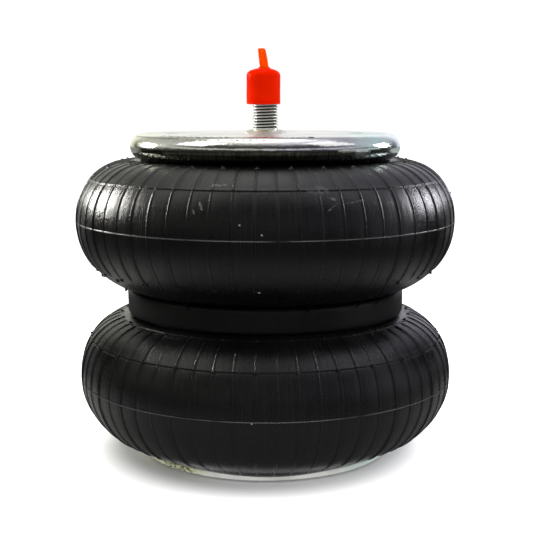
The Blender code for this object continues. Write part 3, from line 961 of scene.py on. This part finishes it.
def make_nut(node, body):
    """A blind nut: its flange inside, a threaded bore open to the outside."""
    low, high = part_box(node)
    up = body == "head"
    face, away = (high.z, -1.0) if up else (low.z, 1.0)
    depths = [(NUT_BORE + 0.0003, 0.0003), (NUT_BORE + 0.0009, 0.0), (NUT_SLEEVE, 0.0)]
    depths += [(NUT_SLEEVE, NUT_NEAR), (NUT_FLANGE, NUT_NEAR)]
    depths += [(NUT_FLANGE, NUT_FAR), (NUT_SLEEVE, NUT_FAR)]
    depths += [(NUT_SLEEVE, NUT_DEPTH - 0.0008), (NUT_SLEEVE - 0.0008, NUT_DEPTH)]
    depths += [(0.0, NUT_DEPTH), (0.0, NUT_DEPTH - 0.0040), (NUT_BORE, NUT_BORE_DEPTH + 0.0001)]
    depths += [(NUT_BORE, d) for d in np.arange(0.0135, 0.0004, -0.00016)]
    outline = [(r, face + away * d) for r, d in depths]

    def relief(angles, radii, heights):
        ends = sorted((face + away * 0.0003, face + away * NUT_BORE_DEPTH))
        cut = thread(angles, heights, *ends, NUT_PITCH, NUT_THREAD_DEPTH)
        return np.where(np.abs(radii - NUT_BORE) < SAME, cut, 0.0)

    centre = (low.x + high.x) / 2
    outline = outline if up else outline[::-1]
    nut = lathe(f"{node}_threaded", outline, STEEL, 48, relief, centre_x=centre)
    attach(nut, body)
    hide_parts(node)


def make_hidden_steel():
    """The bead cores and the hoop keep their CAD shape and get bare steel."""
    for node in ("upper_bead_core", "lower_bead_core", "girdle_hoop"):
        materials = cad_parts[node].data.materials
        materials.clear()
        materials.append(STEEL)


# Cap


def make_cap():
    """The vinyl cap: a dipped skirt, a domed crown, and the pull tab folded out of it."""
    radius, centre = (CAP_HIGH.x - CAP_LOW.x) / 2, (CAP_HIGH.x + CAP_LOW.x) / 2
    foot, shoulder = CAP_LOW.z, 0.0235
    dome = [(r, CAP_CROWN - 0.0022 * (r / 0.0112) ** 2.4) for r in np.linspace(0.001, 0.0104, 10)]
    wall = (radius, foot + shoulder)
    outline = [(0.0, CAP_CROWN)] + dome
    outline += bridge(dome[-1], (0.93, -0.37), wall, (0.0, -1.0), 12, 1.15)
    outline += [(radius, foot + z) for z in (shoulder, 0.018, 0.012, 0.006, 0.0012)]
    outline += [(radius - 0.0002, foot + 0.0003), (radius - 0.0007, foot)]
    outline += [(radius - 0.0013, foot + 0.0004)]
    outline += [(CAP_INSIDE_RADIUS, foot + z) for z in (0.002, 0.012, shoulder)]
    outline += [(0.0110, foot + 0.0255), (0.0, foot + 0.0262)]

    def relief(angles, radii, heights):
        soft = 0.00012 * np.sin(2 * angles + 0.6) + 0.00008 * np.sin(5 * angles + 300 * heights)
        return np.where(radii > 0.008, soft, 0.0)

    shell = lathe("cap_shell", outline, VINYL, 96, relief, centre_x=centre)
    # The tab's sections from its root, offset sideways so that it leans to the left
    root = CAP_HIGH.z - TAB_LENGTH
    leaning = [
        (0.0007, -0.0012, 0.0060, 0.0032),
        (0.0006, 0.0006, 0.0041, 0.0022),
        (0.0005, 0.0016, 0.0036, 0.0017),
        (0.0003, 0.0034, 0.0037, 0.0017),
        (-0.0002, 0.0070, 0.0036, 0.0017),
        (-0.0009, 0.0115, 0.0034, 0.0016),
        (-0.0014, 0.0146, 0.0032, 0.0015),
        (-0.0016, 0.0155, 0.0029, 0.0012),
        (-0.0017, TAB_LENGTH, 0.0022, 0.0006),
    ]
    sections = [(centre + x, root + z, w, t) for x, z, w, t in leaning]
    tab = loft("cap_tab", sections, VINYL, sides=40, crease=0.45)
    cap = join("vinyl_cap", [shell, tab])
    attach(cap, "cap")
    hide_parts("protective_cap")


# Studio


def make_floor():
    """White to the camera but for the shadow, and to the object a pale sheet on a dark table."""
    bpy.ops.mesh.primitive_plane_add(size=12.0, location=(0.0, FLOOR_BACK, 0.0))
    floor = bpy.context.object
    floor.name = "floor"
    n = Nodes("floor", (0.9, 0.9, 0.9), 0.9, Specular_IOR_Level=0.0)
    path = n.add("ShaderNodeLightPath")
    away = n.distance((0.0, -FLOOR_BACK, 0.0))
    sheet = n.between(away, SHEET_EDGE + 0.10, SHEET_EDGE, 0.0, 0.34)
    behind = n.between(n.y, -2.30, -2.00, 0.0, 0.9)
    sheet = n.math("MAXIMUM", sheet, behind)
    seen = n.math("MAXIMUM", path.outputs["Is Camera Ray"], sheet)
    n.into("Base Color", n.mix(seen, (0.06, 0.06, 0.06), (0.9, 0.9, 0.9)))
    n.set("Emission Color", (1.0, 1.0, 1.0, 1.0))
    beside = n.distance((-0.010, -FLOOR_BACK, 0.0))
    glow = n.between(beside, SHADOW_CORE, SHADOW_EDGE, 0.0, FLOOR_GLOW)
    glow = n.times(glow, path.outputs["Is Camera Ray"])
    near = n.between(away, 0.123, 0.115, 0.0, 0.5)
    shine = n.times(near, path.outputs["Is Glossy Ray"])
    n.into("Emission Strength", n.math("ADD", glow, shine))
    floor.data.materials.append(n.material)


def area_light(name, place, target, size, energy, height=None):
    light = bpy.data.lights.new(name, "AREA")
    light.shape = "RECTANGLE"
    light.size, light.size_y = size, height or size
    light.energy = energy
    obj = placed(name, light)
    obj.location = place
    aim = Vector(target) - Vector(place)
    obj.rotation_euler = aim.to_track_quat("-Z", "Y").to_euler()
    obj.visible_camera = False
    return obj


def make_flag(name, place, side):
    """A dark card that keeps a lamp's light off the lower convolution."""
    bpy.ops.mesh.primitive_plane_add(size=1.0, location=place)
    flag = bpy.context.object
    flag.name = name
    flag.scale = FLAG_SIZE
    flag.rotation_euler = (math.pi / 2, 0.0, side * FLAG_TURN)
    flag.data.materials.append(Nodes("flag", (0.01, 0.01, 0.01), 0.9).material)
    flag.visible_camera = False


def make_world():
    """White where the camera sees it, and for the object a dark room with a bright ceiling.

    Each ramp gives the light by height, from straight down to straight up: one for in front,
    one for the sides, and one for the bright wall straight behind.
    """
    world = bpy.data.worlds.new("studio")
    bpy.context.scene.world = world
    world.use_nodes = True
    n = Tree(world.node_tree)
    room = n.tree.nodes["Background"]
    x, y, z = n.split(n.add("ShaderNodeTexCoord").outputs["Generated"])

    def ramp(stops):
        level = n.add("ShaderNodeMapRange")
        level.inputs["From Min"].default_value = -1.0
        n.link(z, level.inputs[0])
        node = n.add("ShaderNodeValToRGB")
        while len(node.color_ramp.elements) < len(stops):
            node.color_ramp.elements.new(0.5)
        for element, (height, light) in zip(node.color_ramp.elements, stops):
            element.position = (height + 1) / 2
            element.color = (light, light, light, 1.0)
        n.link(level.outputs[0], node.inputs[0])
        return node.outputs[0]

    front = [(0.0, 0.03), (0.14, 0.04), (0.22, 0.5), (0.32, 0.5)]
    front = ramp(front + [(0.4, 0.05), (0.66, 0.06), (0.8, 0.30), (0.92, 0.62), (1.0, 1.0)])
    sides = [(-0.1, 0.06), (0.1, 0.09), (0.2, 0.26), (0.35, 0.55)]
    sides = ramp(sides + [(0.55, 0.55), (0.8, 0.42), (0.93, 1.0)])
    wall = ramp([(-0.1, 0.3), (0.0, 0.95), (0.2, 1.0)])
    around = n.mix(n.between(y, -0.60, 0.30), front, sides)
    around = n.mix(n.between(y, 0.76, 0.95), around, wall)
    tint = n.mix(n.between(x, -0.3, 0.5), (1.0, 1.0, 0.90), (0.99, 0.96, 1.14))
    n.link(n.vector_math("MULTIPLY", around, tint)[0], room.inputs["Color"])
    room.inputs["Strength"].default_value = 1.06
    white = n.add("ShaderNodeBackground")
    white.inputs["Color"].default_value = (1.0, 1.0, 1.0, 1.0)
    choose = n.add("ShaderNodeMixShader")
    seen = n.add("ShaderNodeLightPath").outputs["Is Camera Ray"]
    n.feed(choose.inputs, (seen, room.outputs[0], white.outputs[0]))
    n.link(choose.outputs[0], n.tree.nodes["World Output"].inputs["Surface"])


def make_studio():
    make_floor()
    make_world()
    middle = (0.0, 0.0, 0.16)
    area_light("top_panel", (-0.10, 0.10, 1.30), middle, 0.8, 1.5)
    lamps = (("left", -1, 11.5, (1.0, 0.99, 0.93)), ("right", 1, 4.4, (0.95, 0.93, 1.0)))
    for name, side, energy, colour in lamps:
        place, target = (side * 0.86, 0.34, 0.47), (side * 0.13, -0.09, 0.225)
        lamp = area_light(f"{name}_lamp", place, target, 0.26, energy, 0.22)
        lamp.data.color = colour
    fill = area_light("front_fill", (0.20, -1.45, 0.55), middle, 1.0, 17.0)
    fill.visible_glossy = False
    wall = area_light("right_wall", (1.20, -0.15, 0.18), (0.0, 0.0, 0.18), 1.0, 0.60, 0.40)
    wall.data.color = (0.95, 0.92, 1.0)
    for name, side, energy in (("left", -1, 1.0), ("right", 1, 0.7)):
        place, target = (side * 0.62, -0.25, 0.95), (side * 0.08, -0.13, 0.23)
        area_light(f"{name}_card", place, target, 0.5, energy)
        make_flag(f"{name}_flag", (side * 0.338, 0.0285, 0.185), side)


def make_camera():
    camera = bpy.data.cameras.new("camera")
    camera.sensor_width = SENSOR_MM
    camera.lens = FOCAL_PIXELS * SENSOR_MM / IMAGE_PIXELS
    obj = placed("camera", camera)
    obj.location = CAMERA_PLACE
    obj.rotation_euler = (math.pi / 2 - CAMERA_PITCH, 0.0, 0.0)
    bpy.context.scene.camera = obj


up, down = upper_path(), lower_path()
# Scuffs: convolution, both ends as (angle in degrees, height), half width, strength
scuffs = [
    (up, (-17.8, 0.2242), (-16.9, 0.2200), 0.0012, 1.0),
    (up, (-19.6, 0.2190), (-19.0, 0.2170), 0.0012, 0.7),
    (up, (-16.0, 0.2358), (-14.0, 0.2365), 0.0014, 0.7),
    (up, (-13.2, 0.2362), (-11.0, 0.2370), 0.0012, 0.8),
    (up, (12.6, 0.2330), (15.5, 0.2310), 0.0030, 0.35),
    (up, (15.0, 0.2350), (17.4, 0.2325), 0.0028, 0.4),
    (up, (16.6, 0.2180), (19.6, 0.2232), 0.0007, 0.8),
    (up, (21.5, 0.2228), (27.5, 0.2250), 0.0007, 0.8),
    (up, (18.2, 0.2275), (19.2, 0.2262), 0.0015, 0.6),
    (up, (37.0, 0.2225), (38.0, 0.2215), 0.0013, 0.5),
    (up, (56.0, 0.2330), (60.0, 0.2290), 0.0020, 0.5),
    (up, (70.0, 0.1910), (73.0, 0.1880), 0.0020, 0.5),
    (down, (62.0, 0.0640), (64.0, 0.0600), 0.0012, 0.5),
]
# Specks: convolution, angle in degrees, height, radius, how light
specks = [
    (up, -6.5, 0.2093, 0.0008, 0.25),
    (up, -0.8, 0.2023, 0.0008, 0.25),
    (up, -1.7, 0.1577, 0.0011, 0.30),
    (down, -3.5, 0.0630, 0.0008, 0.30),
    (down, -33.1, 0.0673, 0.0009, 0.0),
    (down, 0.8, 0.0707, 0.0009, 0.0),
]
SCUFFS = [(on_skin(path, *a), on_skin(path, *b), *rest) for path, a, b, *rest in scuffs]
SPECKS = [(on_skin(path, angle, z), *rest) for path, angle, z, *rest in specks]
RUBBER_TONES = ((0.0022, 0.0022, 0.0023), (0.0042, 0.0042, 0.0044))
RUBBER = rubber("bellows_rubber", *RUBBER_TONES, 0.24, 0.35, SCUFFS, SPECKS)
BAND = rubber("band_rubber", (0.0007, 0.0007, 0.0008), (0.0015, 0.0015, 0.0016), 0.36, 0.2)
ZINC = upper_zinc()
ZINC_LOWER = lower_zinc()
ZINC_THREAD = thread_zinc()
ZINC_WELD = weld_zinc()
STEEL = bare_steel()
VINYL = vinyl()

make_camera()
make_studio()
make_plates()
make_bellows()
make_beads()
make_band()
make_stud()
make_weld_collar()
for side, carrier in (("upper", "head"), ("lower", "base")):
    for hand in ("left", "right"):
        make_nut(f"{side}_blind_nut_{hand}", carrier)
make_hidden_steel()
make_cap()

bpy.context.scene.view_settings.view_transform = "Standard"
